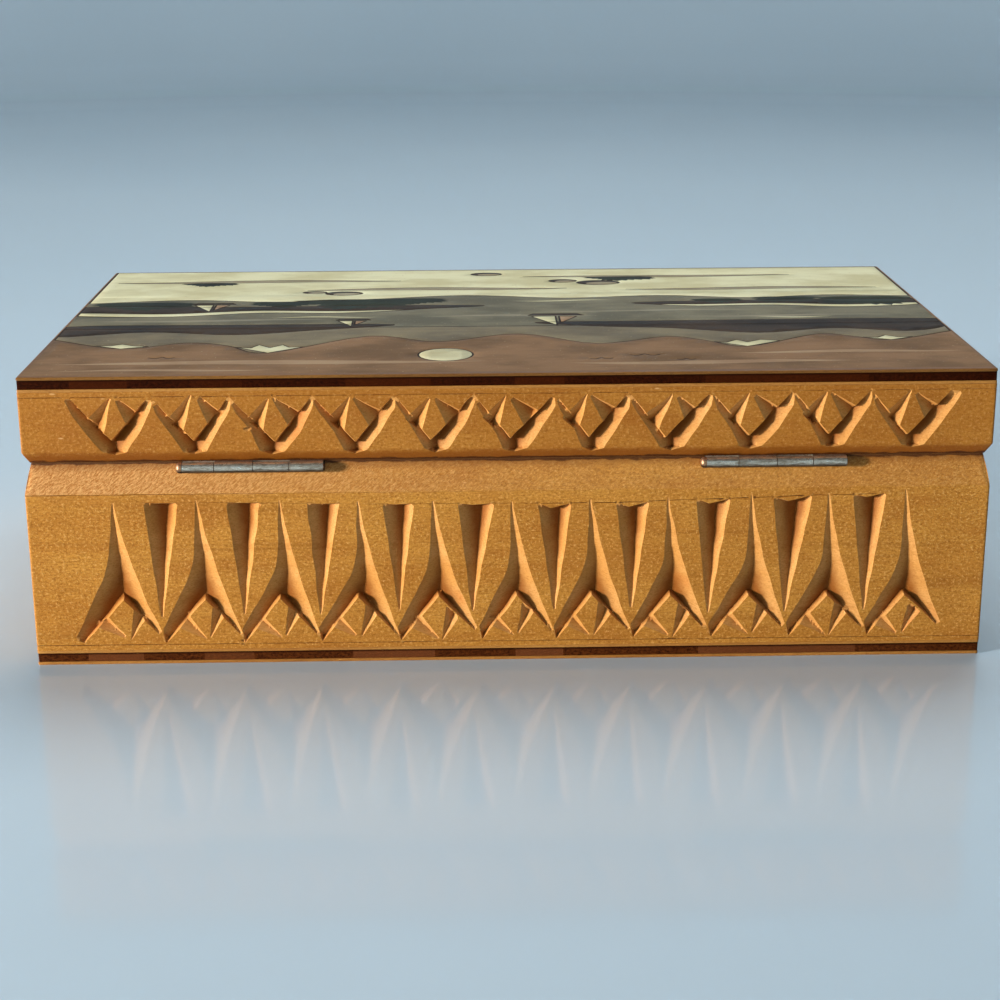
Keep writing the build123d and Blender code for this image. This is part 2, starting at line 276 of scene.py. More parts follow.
def chip_depth(points, one_chip):
    """How deep a chip goes at each point: down its walls to where they meet."""
    outline, walls = one_chip
    result = np.zeros(len(points))
    within = inside(points, outline)
    if within.any():
        result[within] = wall_depths(points[within], walls).min(axis=0)
    return result


def valley_points(one_chip):
    """Points along the lines where a chip's walls meet."""
    outline, walls = one_chip
    low, high = outline.min(0), outline.max(0)
    across, up = np.meshgrid(np.arange(low[0], high[0], VALLEY_GRID), np.arange(low[1], high[1], VALLEY_GRID))
    start = np.column_stack([across.ravel(), up.ravel()])
    start = start[inside(start, outline)]
    if not len(start):
        return start
    order = np.argsort(wall_depths(start, walls), axis=0)
    rows, first, second = np.arange(len(start)), order[0], order[1]

    def apart(points):
        depths = wall_depths(points, walls)
        return depths[first, rows] - depths[second, rows]

    points = start.copy()
    for _ in range(3):
        here = apart(points)
        slope = np.column_stack([apart(points + step) - here for step in ((1e-3, 0), (0, 1e-3))]) / 1e-3
        points -= slope * (here / np.maximum((slope**2).sum(1), 1e-3))[:, None]
    depths = wall_depths(points, walls)
    good = (np.abs(apart(points)) < 0.01) & (np.linalg.norm(points - start, axis=1) < VALLEY_GRID)
    good &= (depths[first, rows] < depths.min(axis=0) + 0.01) & inside(points, outline)
    kept = []
    for point in points[good]:
        if not kept or np.linalg.norm(np.array(kept) - point, axis=1).min() > VALLEY_STEP:
            kept.append(point)
    return np.array(kept).reshape(-1, 2)


def even_places(count):
    """Places along a wall at the carving's pitch, round the wall's middle."""
    return (np.arange(count) - (count - 1) / 2) * CARVING_PITCH


def drifts(side, back, count, random):
    """The back's own drift, or one like it for another wall."""
    back = np.array(back)
    if side == "back":
        return back
    return back.mean(0) + random.normal(0, 1, (count, *back.shape[1:])) * back.std(0)


def upper_line(side, s):
    """Rise of the line along the tops of the base's carving."""
    places, rises, _ = np.array(BACK_LINE).T
    return np.interp(s, places, rises) if side == "back" else UPPER_LINE_RISE + 0.004 * s


def scored_lines(part, side):
    """Scored lines: places along the wall, heights and darkness."""
    half = half_run(side)
    ends = np.array([-half, half])
    if part == "lid":
        return [(ends, np.full(2, LID_LINE), np.array([0.8, 0.6]))]
    places, _, dark = np.array(BACK_LINE).T
    if side != "back":
        places, dark = places * half / HALF_LENGTH, np.full(len(places), 0.6)
    upper = (places, BASE_LINE + upper_line(side, places), dark)
    lower = (ends, np.array([BASE_LINE, BASE_LINE - 0.2]), np.array([0.9, 0.7]))
    crease_height = np.full(4, BASE_TOP - BASE_BEVEL_HEIGHT)
    crease = (half * np.array([-1, -0.4, 0.3, 1]), crease_height, np.array([0.8, 0.5, 0.2, 0.1]))
    return [lower, upper, crease]


def score_share(lines, s, z):
    """How much of a scored line lies at each place: 1 on it, 0 beside it."""
    share = np.zeros(len(s))
    for places, heights, dark in lines:
        away = np.abs(z - np.interp(s, places, heights)) / SCORE_HALF_WIDTH
        share = np.maximum(share, np.interp(s, places, dark, 0, 0) * np.clip(1 - away, 0, 1))
    return share


def tears(part, side):
    """Small ragged hollows where fibres came away."""
    result = []
    for s, z, wide, high in BACK_TEARS[part] if side == "back" else ():
        corners = [np.array([s + wide * u, z + high * v]) for u, v in
                   ((-0.5, -0.2), (-0.1, -0.45), (0.5, 0.1), (0.1, 0.5))]
        result.append(straight_sided(corners, TEAR_SLOPES))
    return result


def base_chips(side, random):
    """The towers, kites and wedges of one wall of the base."""
    count = MOTIF_COUNTS[side]
    feet = even_places(count + 1) + drifts(side, BACK_FEET, count + 1, random)
    kites = drifts(side, BACK_KITES, count, random)
    wedges = drifts(side, BACK_WEDGES, count - 1, random)
    chips = []
    for number, middle in enumerate(even_places(count)):
        drift, rise, top_lean, top_rise, apex_lean, apex_rise = kites[number]
        foot = np.array([middle + drift, CARVING_FOOT + rise])

        def spot(point, loose=0.1):
            return foot + point + random.normal(0, loose, 2)

        def by_foot(place_along, point):
            return np.array([place_along + point[0], CARVING_FOOT + point[1]])

        apex = by_foot(foot[0], (apex_lean, apex_rise))
        kite_top = by_foot(foot[0], (top_lean, top_rise))
        toe = by_foot(feet[number], TOWER_TOE if number else FIRST_TOWER_TOE)
        heel = by_foot(feet[number], TOWER_HEEL if number else FIRST_TOWER_HEEL)
        right_foot = by_foot(feet[number + 1], TOWER_RIGHT_FOOT)
        bend = spot(TOWER_BEND) + (apex_lean + 0.4 * (toe[0] - foot[0] + TOWER_HALF_FOOT), 0)
        bend_start, bend_end = (bend + TOWER_BEND_SHARE * (end - bend) for end in (apex, toe))
        right_pull = spot(TOWER_RIGHT_PULL) + (apex_lean, 0)
        tips = [apex + (TOWER_HALF_TIP, 0), apex - (TOWER_HALF_TIP, 0)]
        chips.append(chip(
            (tips[1:] + curve(bend_start, bend, bend_end, 6) + [bend_end, toe], TOWER_SLOPES["left"]),
            ([toe, heel], TOWER_SLOPES["toe"]),
            ([heel, kite_top, right_foot], TOWER_SLOPES["kite"]),
            (curve(right_foot, right_pull, tips[0]) + tips[:1], TOWER_SLOPES["right"]),
            (tips, TOWER_SLOPES["tip"]),
        ))
        chips.append(straight_sided([spot(corner) for corner in BASE_LEFT_CHIP], BASE_LEFT_SLOPES))
        chips.append(straight_sided([spot(corner) for corner in BASE_RIGHT_CHIP], BASE_RIGHT_SLOPES))
    for middle, (tip, tip_rise, left, right, dip) in zip(even_places(count + 1)[1:-1], wedges):
        across = middle + left + (right - left) * np.array([0, WEDGE_DIP_SHARE, 1])
        rises = BASE_LINE + upper_line(side, across) - np.array([0, dip, 0])
        top_left, valley, top_right = np.column_stack([across, rises])
        bottom = np.array([middle + tip, CARVING_FOOT + tip_rise - WEDGE_TIP_DROP])
        chips.append(chip(
            ([bottom, top_right], WEDGE_SLOPES["right"]),
            ([top_right, valley, top_left], WEDGE_SLOPES["top"]),
            ([top_left, bottom], WEDGE_SLOPES["left"]),
        ))
    return chips


def lid_chips(side, random):
    """The zigzag and the kites of one rail of the lid."""
    count = MOTIF_COUNTS[side]
    tips = even_places(count + 1) + drifts(side, BACK_TIPS, count + 1, random)
    kites = drifts(side, BACK_LID_KITES, count, random)
    chips = []
    for number, middle in enumerate(even_places(count)):
        top, top_rise, foot, foot_rise, bottom = kites[number]

        def spots(place_along, points, loose=0.1):
            start = np.array([place_along, LID_LINE])
            return [start + point + random.normal(0, loose, 2) for point in points]

        kite_top = np.array([middle + top, LID_LINE + top_rise]) + LID_CHIP_TOP
        kite_foot = np.array([middle + foot, LID_LINE + foot_rise])
        right_points = ZIGZAG_RIGHT if number < count - 1 else ZIGZAG_LAST_RIGHT
        left_tips = spots(tips[number], [ZIGZAG_LEFT_TIP] if number else ZIGZAG_FIRST_TIPS, 0.03)
        left_edge = spots(tips[number], ZIGZAG_LEFT[number == 0:])
        right_edge = spots(tips[number + 1], right_points)
        bottom_edge = spots(middle + bottom, ZIGZAG_BOTTOM)
        walls = [
            (left_tips[-1:] + left_edge + bottom_edge[:1], ZIGZAG_SLOPES["left"]),
            (bottom_edge, ZIGZAG_SLOPES["bottom"]),
            (bottom_edge[-1:] + right_edge, ZIGZAG_SLOPES["right"]),
            ([right_edge[-1], kite_foot], ZIGZAG_SLOPES["kite_right"]),
            ([kite_foot, left_tips[0]], ZIGZAG_SLOPES["kite_left"]),
        ]
        chips.append(chip(*walls, *([] if number else [(left_tips, ZIGZAG_SLOPES["tip"])])))
        kite_middle = middle + (top + foot) / 2
        chips.append(straight_sided([kite_top] + spots(kite_middle, LID_LEFT_CHIP), LID_LEFT_SLOPES))
        chips.append(straight_sided([kite_top] + spots(kite_middle, LID_RIGHT_CHIP), LID_RIGHT_SLOPES))
    return chips


# Boards


def base_bevel(z):
    t = np.clip((z - (BASE_TOP - BASE_BEVEL_HEIGHT)) / BASE_BEVEL_HEIGHT, 0, 1)
    return BASE_BEVEL_INSET * t**BASE_BEVEL_SOFTNESS


def lid_bevel(z):
    t = np.clip((LID_BOTTOM + LID_BEVEL_HEIGHT - z) / LID_BEVEL_HEIGHT, 0, 1)
    return LID_BEVEL_INSET * t**LID_BEVEL_SOFTNESS


def is_clear(points, segments, distance):
    """Which points lie further than this from every segment."""
    keep = np.ones(len(points), bool)
    for start, end in segments:
        near = beside(points, start, end, distance)
        keep[near[distance_to(points[near], start, end) < distance]] = False
    return keep


def clear_of(points, segments, distance):
    return points[is_clear(points, segments, distance)]


def border_places(length, step=BORDER_STEP):
    return np.linspace(0, length, max(2, round(length / step) + 1))


def triangulate(segments, loose):
    """Triangles over the hull of the segments and loose points, all of them counter-clockwise."""
    coordinates = [Vector(end) for segment in segments for end in segment] + [Vector(p) for p in loose]
    edges = [(2 * number, 2 * number + 1) for number in range(len(segments))]
    points, _, faces, _, _, _ = delaunay_2d_cdt(coordinates, edges, [], 0, 1e-4)
    points = np.array([tuple(p) for p in points])
    faces = np.array(faces)
    a, b, c = (points[faces[:, k]] for k in range(3))
    area = (b[:, 0] - a[:, 0]) * (c[:, 1] - a[:, 1]) - (b[:, 1] - a[:, 1]) * (c[:, 0] - a[:, 0])
    faces = faces[np.abs(area) > 1e-9]
    area = area[np.abs(area) > 1e-9]
    faces[area < 0] = faces[area < 0][:, ::-1]
    return points, faces


def border_loop(faces):
    """The vertices round the border of a sheet of triangles, counter-clockwise."""
    following = {}
    pairs = {(int(f[k]), int(f[(k + 1) % 3])) for f in faces for k in range(3)}
    for a, b in pairs:
        if (b, a) not in pairs:
            following[a] = b
    loop = [next(iter(following))]
    while following[loop[-1]] != loop[0]:
        loop.append(following[loop[-1]])
    return loop


def rectangle(low, high, step=BORDER_STEP):
    """The four sides of a rectangle as short segments."""
    xs = low[0] + border_places(high[0] - low[0], step)
    ys = low[1] + border_places(high[1] - low[1], step)
    corners = [(x, low[1]) for x in xs] + [(high[0], y) for y in ys[1:]]
    corners += [(x, high[1]) for x in xs[::-1][1:]] + [(low[0], y) for y in ys[::-1][1:]]
    return [(np.array(a), np.array(b)) for a, b in zip(corners[:-1], corners[1:])]


def steps_along(line, step):
    """A line as segments no longer than a step."""
    segments = []
    for start, end in zip(line[:-1], line[1:]):
        count = max(1, math.ceil(np.linalg.norm(end - start) / step))
        points = start + np.linspace(0, 1, count + 1)[:, None] * (end - start)
        segments += list(zip(points[:-1], points[1:]))
    return segments


def carved_board(part, side, chips, bevel, materials, seed):
    """One board: a carved outer face, mitred ends and a flat inner face."""
    low_z, high_z = (BASE_BOTTOM, BASE_TOP) if part == "base" else (LID_BOTTOM, LID_TOP)
    half = half_run(side)
    lines = scored_lines(part, side)
    segments = rectangle((-half, low_z), (half, high_z))
    bevel_start = BASE_TOP - BASE_BEVEL_HEIGHT if part == "base" else LID_BOTTOM + LID_BEVEL_HEIGHT
    marks = steps_along(np.array([(-half, bevel_start), (half, bevel_start)]), MARK_STEP)
    for places, heights, _ in lines:
        for offset in (-SCORE_HALF_WIDTH, 0, SCORE_HALF_WIDTH):
            marks += steps_along(np.column_stack([places, heights + offset]), MARK_STEP)
    outlines = []
    for outline, _ in chips:
        outlines += steps_along(np.vstack([outline, outline[:1]]), OUTLINE_STEP)
    middles = np.array([(start + end) / 2 for start, end in marks])
    whole = is_clear(middles, outlines, MARK_CLEARANCE)
    whole &= ~np.any([inside(middles, outline) for outline, _ in chips], axis=0)
    segments += [mark for mark, is_whole in zip(marks, whole) if is_whole]
    arc = CORNER_ROUNDING * math.pi / 4
    for end in (-1, 1):
        for share in (0, 1 / 3, 2 / 3):
            s = end * (half - arc * (1 - share))
            segments.append((np.array([s, low_z]), np.array([s, high_z])))
    segments += outlines
    valleys = np.vstack([valley_points(one_chip) for one_chip in chips])
    valleys = clear_of(valleys, segments, 0.6 * LINE_CLEARANCE)

    random = np.random.default_rng(seed)
    columns = np.arange(-half + GRID_STEP, half, GRID_STEP)
    rows = np.arange(low_z + GRID_STEP * 0.7, high_z, GRID_STEP * 0.87)
    grid = np.array([(s + (k % 2) * GRID_STEP / 2, z) for k, z in enumerate(rows) for s in columns])
    grid += random.uniform(-0.12, 0.12, grid.shape) * GRID_STEP
    within = (np.abs(grid[:, 0]) < half - 0.3) & (grid[:, 1] > low_z + 0.3) & (grid[:, 1] < high_z - 0.3)
    loose = clear_of(grid[within], segments + [(point, point) for point in valleys], LINE_CLEARANCE)
    flat, faces = triangulate(segments, np.vstack([valleys, loose]))

    cut = np.zeros(len(flat))
    for one_chip in chips:
        cut = np.maximum(cut, chip_depth(flat, one_chip))
    score = SCORE_DEPTH * score_share(lines, flat[:, 0], flat[:, 1])
    rounding = np.clip((np.abs(flat[:, 0]) - (half - arc)) / CORNER_ROUNDING, 0, math.pi / 4)
    slope = bevel(flat[:, 1])
    loop = border_loop(faces)

    to_border = np.minimum(half - np.abs(flat[:, 0]), np.minimum(flat[:, 1] - low_z, high_z - flat[:, 1]))
    free = smooth_step(to_border, 0, 2.5)
    to_line = np.min([np.abs(flat[:, 1] - np.interp(flat[:, 0], *line[:2])) for line in lines], axis=0)
    end_share = smooth_step(np.abs(flat[:, 0]), half - MITRE_FADE, half)
    s = np.abs(flat[:, 0]) - np.clip(np.abs(flat[:, 0]) - (half - arc), 0, None)
    s += CORNER_ROUNDING * np.sin(rounding)
    s = s - (CORNER_ROUNDING - arc) * end_share - slope * end_share
    s = s * np.sign(flat[:, 0]) + WOBBLE * free * waves(flat, 7, seed + 1)
    z = flat[:, 1] + WOBBLE * free * np.clip(to_line, 0, 1) * waves(flat, 7, seed + 2)
    depth = slope + CORNER_ROUNDING * (1 - np.cos(rounding)) + np.maximum(cut, score)
    depth += free * RIPPLE * (0.4 + np.clip(cut, 0, 1.2)) * waves(flat, 2.6, seed + 3)
    depth += free * 0.02 * (1 + waves(flat, 16, seed + 4))
    depth = np.clip(depth, 0, None)

    inner_half = half - WALL
    loop_flat = flat[loop]
    inner_s = loop_flat[:, 0] / half * inner_half
    outer = place(side, s, depth, z)
    inner = place(side, inner_s, np.full(len(loop), WALL), loop_flat[:, 1])
    points = np.vstack([outer, inner])
    count, rim = len(flat), len(loop)
    polygons = [tuple(int(v) for v in face) for face in faces]
    cut_face = cut[faces].max(axis=1) > 0.02
    material_numbers = [1 if is_cut else 0 for is_cut in cut_face]
    for k in range(rim):
        a, b = loop[k], loop[(k + 1) % rim]
        polygons.append((b, a, count + k, count + (k + 1) % rim))
        material_numbers.append(2)
    polygons.append(tuple(count + k for k in reversed(range(rim))))
    material_numbers.append(2)
    return make_piece(f"{part}_{side}_wood", points, polygons, materials, material_numbers)


# Meshes


def make_piece(name, points_mm, polygons, materials, material_numbers=None):
    """An object from points in millimetres and polygons, with its materials."""
    mesh = bpy.data.meshes.new(name)
    mesh.from_pydata((np.asarray(points_mm) * MM).tolist(), [], polygons)
    for material in materials:
        mesh.materials.append(material)
    if material_numbers is not None:
        mesh.polygons.foreach_set("material_index", np.array(material_numbers, np.int32))
    mesh.validate()
    piece = bpy.data.objects.new(name, mesh)
    bpy.context.scene.collection.objects.link(piece)
    return piece


def smooth(piece, angle=24):
    """Smooth shading with sharp edges above this angle."""
    mesh = piece.data
    mesh.polygons.foreach_set("use_smooth", np.ones(len(mesh.polygons), bool))
    mesh.set_sharp_from_angle(angle=math.radians(angle))


def add_grain(piece, part, side, shift):
    """The wood's own places in millimetres, and its marks (run, ink)."""
    mesh = piece.data
    points = np.zeros(len(mesh.vertices) * 3)
    mesh.vertices.foreach_get("co", points)
    points = points.reshape(-1, 3) / MM
    along, outward = side_axes(side)
    run, into, up = points @ along, reach(side) - points @ outward, points[:, 2]
    ink = score_share(scored_lines(part, side), run, up) * (into < 0.3)
    for name, values in (
        ("grain", np.column_stack([run + shift, into, up])),
        ("marks", np.column_stack([run / half_run(side), ink, np.zeros(len(run))])),
    ):
        attribute = mesh.attributes.new(name, "FLOAT_VECTOR", "POINT")
        attribute.data.foreach_set("vector", values.astype(np.float32).ravel())


def cut_mortises(piece):
    """Cuts the two hinge mortises into the top of the back board."""
    for side in ("left", "right"):
        low, high = box_mm(f"{side}_hinge_base_leaf")
        low = low - MORTISE_CLEARANCE * np.array([1, 1, 0])
        high = np.array([high[0] + MORTISE_CLEARANCE, HALF_DEPTH + WALL, BASE_TOP + WALL])
        corners = [(x, y, z) for x in (low[0], high[0]) for y in (low[1], high[1]) for z in (low[2], high[2])]
        walls = [(0, 1, 3, 2), (4, 6, 7, 5), (0, 4, 5, 1), (2, 3, 7, 6), (0, 2, 6, 4), (1, 5, 7, 3)]
        cutter = make_piece("cutter", corners, walls, piece.data.materials[:], [2] * 6)
        modifier = piece.modifiers.new("mortise", "BOOLEAN")
        modifier.operation, modifier.solver, modifier.object = "DIFFERENCE", "EXACT", cutter
        bpy.context.view_layer.update()
        evaluated = piece.evaluated_get(bpy.context.evaluated_depsgraph_get())
        mesh = bpy.data.meshes.new_from_object(evaluated)
        piece.modifiers.clear()
        piece.data = mesh
        bpy.data.objects.remove(cutter)


# Materials


def colour(red, green, blue):
    """A colour from the numbers that a paint program shows, 0 to 255."""
    linear = [(c / 12.92 if c <= 0.04045 else ((c + 0.055) / 1.055) ** 2.4) for c in
              (value / 255 for value in (red, green, blue))]
    return (*linear, 1.0)


class Shader:
    """A material whose nodes are added one call at a time."""

    def __init__(self, name):
        self.material = bpy.data.materials.new(name)
        self.material.use_nodes = True
        self.tree = self.material.node_tree
        self.surface = self.tree.nodes["Principled BSDF"]

    def add(self, kind, inputs=(), **settings):
        node = self.tree.nodes.new(kind)
        for key, value in settings.items():
            setattr(node, key, value)
        for key, value in dict(inputs).items():
            self.put(node.inputs[key], value)
        return node

    def put(self, socket, value):
        if isinstance(value, bpy.types.NodeSocket):
            self.tree.links.new(value, socket)
        else:
            socket.default_value = value

    def stored(self, name):
        """An attribute of the mesh: the wood's own places, or its marks."""
        return self.add("ShaderNodeAttribute", attribute_name=name).outputs["Vector"]

    def place_mm(self):
        """The piece's own coordinates in millimetres."""
        own = self.add("ShaderNodeTexCoord").outputs["Object"]
        return self.stretch(own, (1 / MM, 1 / MM, 1 / MM))

    def stretch(self, vector, scale, shift=(0, 0, 0)):
        node = self.add("ShaderNodeVectorMath", {0: vector, 1: scale, 2: shift}, operation="MULTIPLY_ADD")
        return node.outputs[0]

    def part_of(self, vector, axis):
        return self.add("ShaderNodeSeparateXYZ", {0: vector}).outputs[axis]

    def noise(self, vector, detail=3.0, roughness=0.5, distortion=0.0):
        inputs = {"Vector": vector, "Scale": 1.0, "Detail": detail, "Roughness": roughness}
        node = self.add("ShaderNodeTexNoise", {**inputs, "Distortion": distortion})
        return node.outputs[0]

    def math(self, operation, a, b=0.0, c=0.0):
        node = self.add("ShaderNodeMath", operation=operation)
        for number, value in enumerate((a, b, c)):
            self.put(node.inputs[number], value)
        return node.outputs[0]

    def scale_range(self, value, low, high, to_low=0.0, to_high=1.0):
        inputs = {"Value": value, "From Min": low, "From Max": high, "To Min": to_low, "To Max": to_high}
        return self.add("ShaderNodeMapRange", inputs, interpolation_type="SMOOTHSTEP").outputs[0]

    def mix(self, share, a, b):
        node = self.add("ShaderNodeMix", data_type="RGBA")
        self.put(node.inputs[0], share)
        self.put(node.inputs[6], a)
        self.put(node.inputs[7], b)
        return node.outputs[2]

    def stain(self, below, value, span, tone):
        """Lays a tone over the colour below it, as strongly as a value says within its span."""
        return self.mix(self.scale_range(value, *span), below, tone)

    def bump(self, height, strength, distance_mm):
        inputs = {"Height": height, "Strength": strength, "Distance": distance_mm * MM}
        return self.add("ShaderNodeBump", inputs).outputs[0]

    def finish(self, **inputs):
        for key, value in inputs.items():
            self.put(self.surface.inputs[key.replace("_", " ")], value)
        return self.material


def wood_colour(shader, vector, light, dark, streak):
    """Fine level grain: broad figure, growth lines and short fibres."""
    figure = shader.noise(shader.stretch(vector, (0.02, 0.12, 0.12)), 4, 0.6)
    lines = shader.noise(shader.stretch(vector, (0.014, 0.55, 0.55)), 5, 0.65, 0.4)
    fibres = shader.noise(shader.stretch(vector, (0.4, 3.2, 3.2)), 3, 0.6)
    flecks = shader.noise(shader.stretch(vector, (1.4, 3.4, 3.4), (31, 7, 3)), 2, 0.7)
    mixed = shader.stain(light, figure, (0.3, 0.7), dark)
    mixed = shader.stain(mixed, lines, (0.52, 0.72, 0.0, 0.45), streak)
    mixed = shader.stain(mixed, fibres, (0.35, 0.75, 0.0, 0.4), streak)
    mixed = shader.stain(mixed, flecks, (0.52, 0.72, 0.0, 0.55), streak)
    height = shader.math("MULTIPLY_ADD", fibres, 0.7, shader.math("MULTIPLY", flecks, -0.4))
    return mixed, height


def carved_wood():
    """Honey-coloured varnished wood of the carved faces, with the sanded bevel of the base and painted shade
    by the seam and on the lid's bevel.
    """
    shader = Shader("carved_wood")
    grain, marks = shader.stored("grain"), shader.stored("marks")
    height = shader.part_of(grain, 2)
    mixed, fibre = wood_colour(
        shader, grain, colour(202, 138, 55), colour(184, 118, 42), colour(140, 82, 20)
    )
    blotch = shader.noise(shader.stretch(grain, (0.07, 0.1, 0.16), (5, 9, 2)), 3, 0.55)
    mixed = shader.stain(mixed, blotch, (0.46, 0.72, 0.0, 0.5), colour(160, 94, 28))
    mottle = shader.noise(shader.stretch(grain, (1.5, 1.9, 1.9), (11, 3, 7)), 3, 0.75)
    mixed = shader.stain(mixed, mottle, (0.34, 0.48, 0.7, 0.0), colour(138, 78, 16))
    mixed = shader.stain(mixed, mottle, (0.53, 0.67, 0.0, 0.65), colour(226, 168, 94))
    for size, shift, reach_mm, tone in (
        ((0.13, 0.13, 0.13), (4, 1, 6), 0.045, colour(52, 22, 6)),
        ((0.09, 0.3, 0.3), (8, 5, 2), 0.07, colour(240, 190, 126)),
    ):
        cells = shader.add(
            "ShaderNodeTexVoronoi", {"Vector": shader.stretch(grain, size, shift), "Scale": 1.0}, feature="F1"
        )
        chance = shader.math("LESS_THAN", shader.part_of(cells.outputs["Color"], 0), 0.3)
        spot = shader.scale_range(cells.outputs["Distance"], 0.4 * reach_mm, reach_mm, 0.85, 0.0)
        mixed = shader.mix(shader.math("MULTIPLY", spot, chance), mixed, tone)

    # Sanded bevel: scratched across the grain, most of all at one end; the scratches' pale colour is partly
    # real sanding and partly painted highlight
    ragged = shader.math("MULTIPLY_ADD", shader.noise(shader.stretch(grain, (0.3, 1, 1))), 1.2, height)
    bevel_start = BASE_TOP - BASE_BEVEL_HEIGHT
    sanding_and_sheen = shader.scale_range(ragged, bevel_start + 0.4, bevel_start + 1.0)
    sanding_and_sheen = shader.math("MULTIPLY", sanding_and_sheen, shader.math("LESS_THAN", height, BASE_TOP + 0.1))
    run = shader.math("MULTIPLY_ADD", shader.noise(shader.stretch(grain, (0.05, 0.2, 0.3))), 0.5,
                      shader.part_of(marks, 0))
    sanding_and_sheen = shader.math("MULTIPLY", sanding_and_sheen, shader.scale_range(run, -0.9, 0.5, 1.0, 0.25))
    slanted = shader.add(
        "ShaderNodeVectorRotate", {"Vector": grain, "Angle": math.radians(38)}, rotation_type="Y_AXIS"
    ).outputs[0]
    scratches = shader.noise(shader.stretch(slanted, (1.0, 2, 4.0)), 3, 0.8)
    sanding_and_sheen_colour = shader.stain(colour(176, 106, 44), scratches, (0.36, 0.66), colour(228, 168, 100))
    mixed = shader.mix(sanding_and_sheen, mixed, sanding_and_sheen_colour)

    # Painted shade by the seam under the lid's edge, on the lid's downward-facing bevel and in the gap; the
    # lid a little darker all over
    # Painted shade: a darker band on both sides of the seam, where the lid's edge shades the base
    seam = shader.math("ABSOLUTE", shader.math("SUBTRACT", ragged, BASE_TOP + 0.9))
    mixed = shader.stain(mixed, seam, (0.6, 2.6, 0.6, 0.0), colour(128, 72, 26))
    # Painted shade: darkest on the lid's downward-facing bevel, and a little darker over the rest of the lid
    on_lid = shader.math("GREATER_THAN", height, BASE_TOP + 0.1)
    lid_bevel_shade = shader.scale_range(ragged, LID_BOTTOM + 1.9, LID_BOTTOM + 3.4, 0.8, 0.35)
    mixed = shader.mix(shader.math("MULTIPLY", on_lid, lid_bevel_shade), mixed, colour(138, 72, 10))
    # Painted shade: a dark line in the gap between the lid and the base
    gap = shader.math("ABSOLUTE", shader.math("SUBTRACT", ragged, (BASE_TOP + LID_BOTTOM) / 2 + 0.6))
    mixed = shader.stain(mixed, gap, (0.35, 0.7, 0.85, 0.0), colour(62, 26, 6))

    # Scored layout lines
    patchy = shader.noise(shader.stretch(grain, (0.15, 1, 0.05)), 2, 0.5)
    ink = shader.math("MULTIPLY", shader.scale_range(shader.part_of(marks, 1), 0.1, 0.75),
                      shader.scale_range(patchy, 0.35, 0.6, 0.4, 0.95))
    mixed = shader.mix(ink, mixed, colour(84, 42, 12))

    bumps = shader.math("MULTIPLY_ADD", shader.math("MULTIPLY", scratches, sanding_and_sheen), 1.6, fibre)
    bumps = shader.math("MULTIPLY_ADD", mottle, 1.2, bumps)
    roughness = shader.math("MULTIPLY_ADD", sanding_and_sheen, 0.15, shader.scale_range(blotch, 0.3, 0.7, 0.42, 0.54))
    return shader.finish(
        Base_Color=mixed, Roughness=roughness, Normal=shader.bump(bumps, 0.6, 0.12), Specular_IOR_Level=0.15
    )


def cut_wood():
    """The knife-cut facets: pale at their edges, with painted shade darkening them towards the bottom of each
    cut.
    """
    shader = Shader("cut_wood")
    grain = shader.stored("grain")
    mixed, fibre = wood_colour(
        shader, grain, colour(224, 162, 92), colour(214, 148, 74), colour(172, 106, 42)
    )
    tint = shader.noise(shader.stretch(grain, (0.05, 0.2, 0.09), (2, 4, 8)), 3, 0.5)
    mixed = shader.stain(mixed, tint, (0.58, 0.74, 0.0, 0.5), colour(200, 112, 46))
    into = shader.part_of(grain, 1)
    # Painted shade: the deeper into the cut, the darker, as shade falls in the valleys
    mixed = shader.stain(mixed, into, (0.3, 1.9, 0.1, 0.85), colour(124, 60, 8))
    return shader.finish(
        Base_Color=mixed, Roughness=0.55, Normal=shader.bump(fibre, 0.5, 0.1), Specular_IOR_Level=0.06
    )


def bare_wood():
    """Unvarnished wood inside the box and on the boards' edges."""
    shader = Shader("bare_wood")
    mixed, fibre = wood_colour(
        shader, shader.stored("grain"), colour(196, 148, 86), colour(182, 130, 70), colour(150, 98, 46)
    )
    return shader.finish(Base_Color=mixed, Roughness=0.7, Normal=shader.bump(fibre, 0.6, 0.12))


def ply_face(name, light, dark, streak, roughness):
    """A rotary-cut face ply, with its grain along the box."""
    shader = Shader(name)
    mixed, fibre = wood_colour(shader, shader.place_mm(), light, dark, streak)
    return shader.finish(Base_Color=mixed, Roughness=roughness, Normal=shader.bump(fibre, 0.5, 0.1),
                         Specular_IOR_Level=0.25)


def ply_core(name, node, light, dark, patch, patch_share):
    """A dark core ply, whose end grain shows in blocks along the edge, with painted shade darkest under the
    ply above.
    """
    shader = Shader(name)
    own = shader.place_mm()
    fibres = shader.noise(shader.stretch(own, (1.3, 1.3, 2.2)), 4, 0.7)
    mixed = shader.stain(dark, fibres, (0.3, 0.7), light)
    blocks = shader.add(
        "ShaderNodeTexVoronoi",
        {"Vector": shader.stretch(own, (0.045, 0.045, 0.0)), "Scale": 1.0, "Randomness": 1.0},
        feature="F1",
    )
    tone = shader.part_of(blocks.outputs["Color"], 0)
    mixed = shader.stain(mixed, tone, (0.45, 0.62, 0.0, patch_share), patch)
    top = box_mm(node)[1][2]
    # Painted shade: a dark line along the core's top, under the ply above
    ragged = shader.math("MULTIPLY_ADD", fibres, 0.5, shader.part_of(own, 2))
    mixed = shader.stain(mixed, ragged, (top - 0.3, top + 0.1, 0.0, 0.85), colour(34, 10, 2))
    return shader.finish(Base_Color=mixed, Roughness=0.7, Normal=shader.bump(fibres, 0.7, 0.15),
                         Specular_IOR_Level=0.03)


